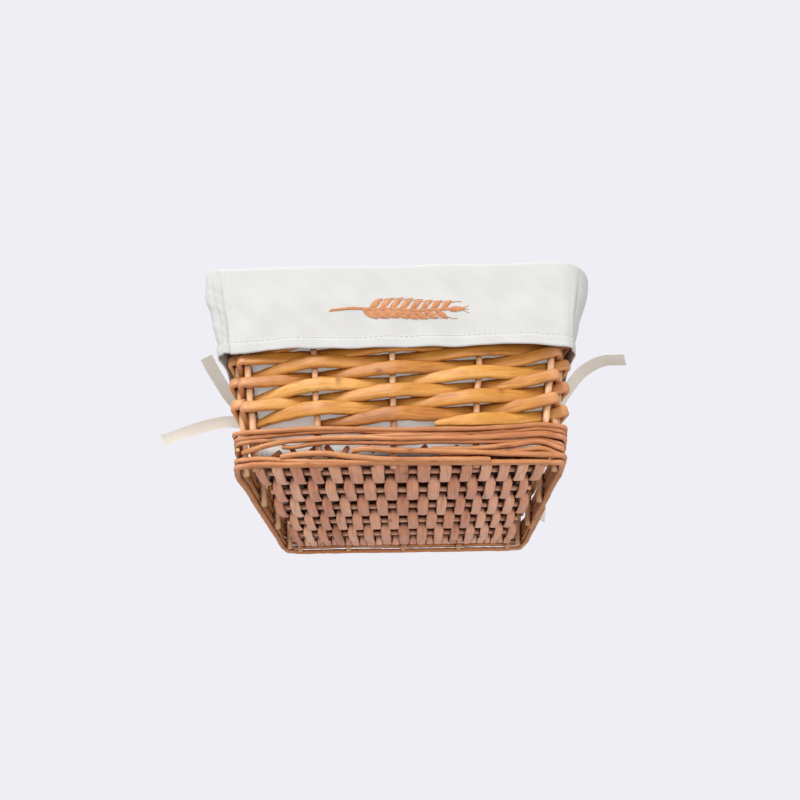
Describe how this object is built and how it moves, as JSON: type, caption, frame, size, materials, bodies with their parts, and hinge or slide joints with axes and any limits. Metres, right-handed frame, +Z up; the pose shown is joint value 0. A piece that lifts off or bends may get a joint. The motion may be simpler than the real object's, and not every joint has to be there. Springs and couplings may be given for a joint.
{
  "type": "lined bread basket",
  "caption": "Rectangular willow basket with flared woven walls and a removable cotton liner, its cuff folded over the rim and tied at both ends.",
  "frame": {"origin": "on the surface the basket stands on, under the middle of its base", "axes": "+Z up, +X along the long side towards the right tie, the embroidered front faces -Y"},
  "size_m": [0.421, 0.2698, 0.159],
  "materials": {
    "willow": "satin, boiled golden-brown willow rods",
    "willow_pale": "matt, paler peeled willow",
    "cotton": "matt, off-white woven cotton",
    "thread": "satin, orange-brown embroidery thread"
  },
  "bodies": {
    "root": {"base_stick_1": "willow_pale", "base_stick_2": "willow_pale", "base_stick_3": "willow_pale", "base_stick_4": "willow_pale", "base_stick_5": "willow_pale", "base_weave": "willow_pale", "foot_wale_1": "willow_pale", "foot_wale_2": "willow_pale", "foot_wale_3": "willow_pale", "liner_bag": "cotton", "liner_cuff": "cotton", "rim_border": "willow", "side_stake_01": "willow_pale", "side_stake_02": "willow_pale", "side_stake_03": "willow_pale", "side_stake_04": "willow_pale", "side_stake_05": "willow_pale", "side_stake_06": "willow_pale", "side_stake_07": "willow_pale", "side_stake_08": "willow_pale", "side_stake_09": "willow_pale", "side_stake_10": "willow_pale", "side_stake_11": "willow_pale", "side_stake_12": "willow_pale", "side_stake_13": "willow_pale", "side_stake_14": "willow_pale", "side_stake_15": "willow_pale", "side_stake_16": "willow_pale", "side_stake_17": "willow_pale", "side_stake_18": "willow_pale", "tie_left_knot": "cotton", "tie_left_lower": "cotton", "tie_left_upper": "cotton", "tie_right_knot": "cotton", "tie_right_lower": "cotton", "tie_right_upper": "cotton", "upper_wale_1": "willow_pale", "upper_wale_2": "willow_pale", "upper_wale_3": "willow_pale", "upper_wale_4": "willow_pale", "wall_weaver_01": "willow", "wall_weaver_02": "willow", "wall_weaver_03": "willow", "wall_weaver_04": "willow", "wall_weaver_05": "willow", "wall_weaver_06": "willow", "wall_weaver_07": "willow", "wall_weaver_08": "willow", "wall_weaver_09": "willow", "wall_weaver_10": "willow", "wall_weaver_11": "willow", "wall_weaver_12": "willow", "wheat_embroidery": "thread"}
  },
  "joints": []
}
